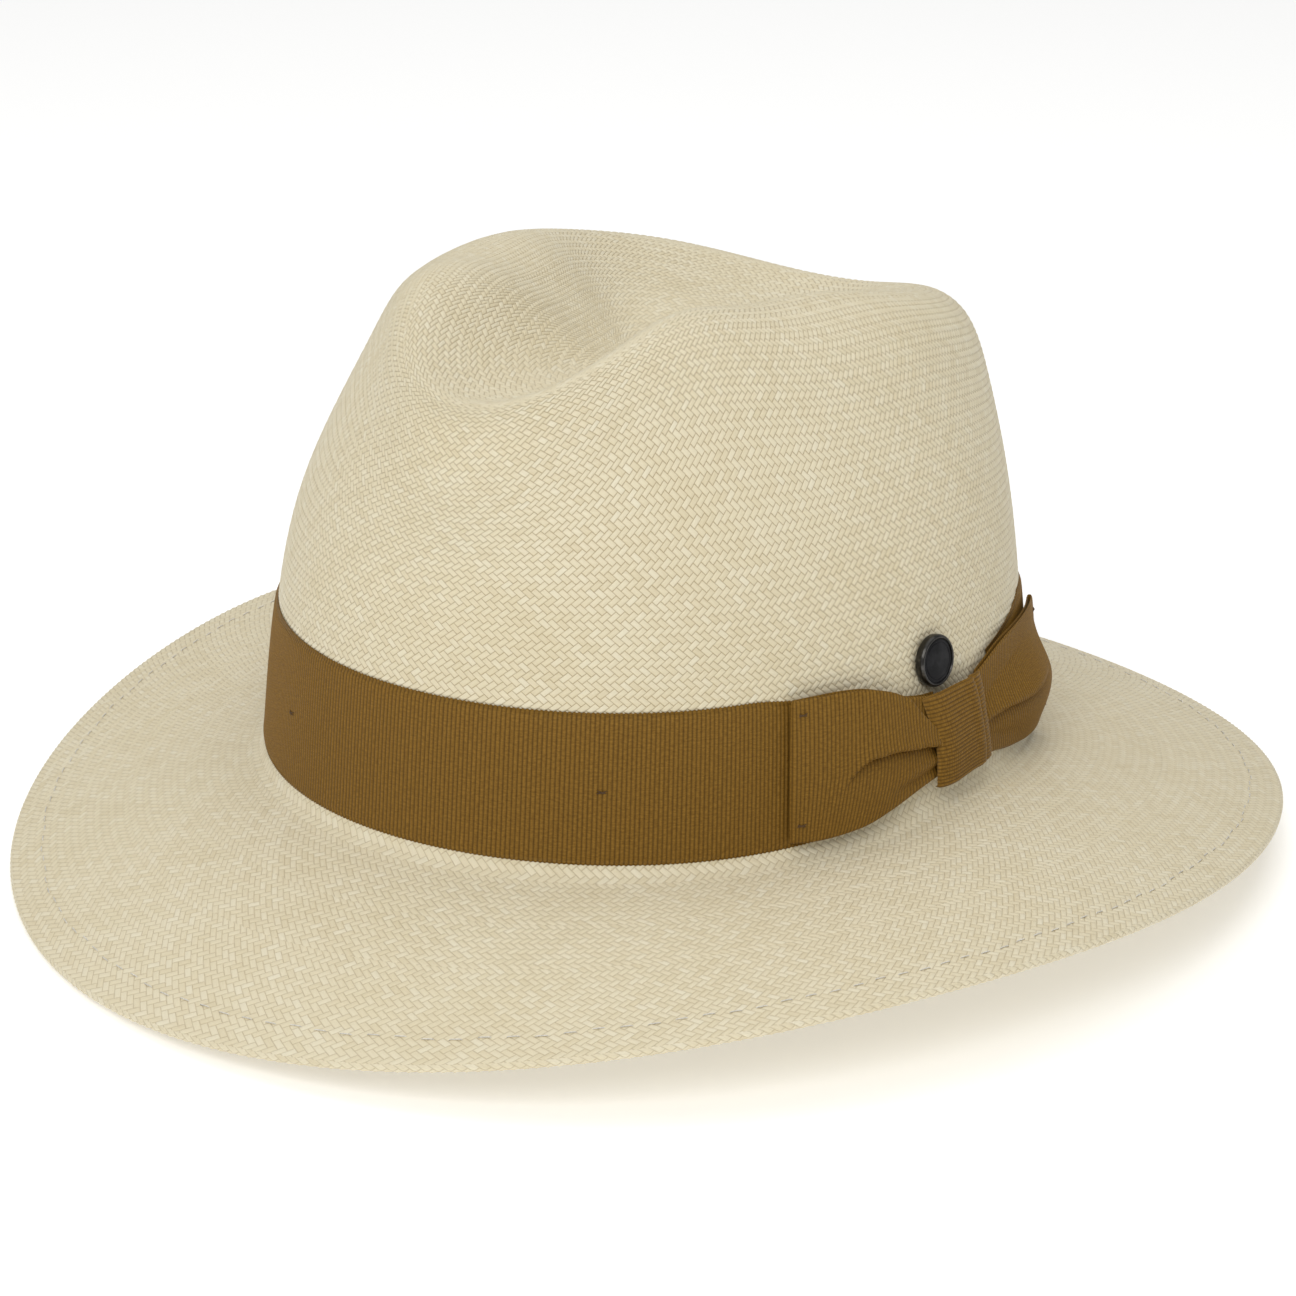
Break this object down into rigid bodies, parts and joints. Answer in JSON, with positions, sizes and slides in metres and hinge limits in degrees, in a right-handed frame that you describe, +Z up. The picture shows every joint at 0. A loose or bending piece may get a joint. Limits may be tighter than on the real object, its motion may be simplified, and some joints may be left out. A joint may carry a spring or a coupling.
{
  "type": "panama hat",
  "caption": "Woven straw panama hat with a pinched teardrop crown, snap brim, grosgrain ribbon and bow, round pin badge and inner sweatband.",
  "frame": {"origin": "middle of the hat's box, on the surface that the brim stands on", "axes": "+Z up, the front of the hat faces -Y, the wearer's left (the bow's side) is +X"},
  "size_m": [0.3062, 0.334, 0.1481],
  "materials": {
    "straw": "hand-woven toquilla straw, matt with a slight waxy sheen",
    "hem_thread": "translucent monofilament",
    "grosgrain": "brown ribbed grosgrain ribbon",
    "ribbon_thread": "brown sewing thread",
    "gunmetal": "dark polished gunmetal plating",
    "enamel": "black enamel, blank",
    "pin_steel": "bright steel",
    "clutch_brass": "stamped brass",
    "sweatband_cloth": "ecru cotton twill",
    "reed_piping": "cloth-covered reed",
    "sweatband_thread": "ecru thread",
    "seam_tape": "cotton tape",
    "label_cloth": "white satin label, blank"
  },
  "bodies": {
    "hat": {"hat_body": "straw", "hem_stitching": "hem_thread", "ribbon_band": "grosgrain", "ribbon_tacks": "ribbon_thread", "bow_front_loop": "grosgrain", "bow_rear_loop": "grosgrain", "bow_knot": "grosgrain", "bow_tacks": "ribbon_thread", "sweatband": "sweatband_cloth", "sweatband_reed": "reed_piping", "sweatband_stitching": "sweatband_thread", "sweatband_seam_tape": "seam_tape", "size_label": "label_cloth", "care_label": "label_cloth"},
    "badge": {"badge_bezel": "gunmetal", "badge_face": "enamel", "badge_post": "pin_steel"},
    "clutch": {"clutch_cap": "clutch_brass", "clutch_wings": "clutch_brass"}
  },
  "joints": [
    {"name": "badge_spin", "type": "hinge", "parent": "hat", "child": "badge", "pos_m": [0.08595, -0.0155, 0.0675], "axis": [0.9836, -0.1375, 0.1171], "continuous": true},
    {"name": "clutch_slide", "type": "slide", "parent": "badge", "child": "clutch", "axis": [-0.9836, 0.1375, -0.1171], "range_m": [0, 0.008]}
  ]
}
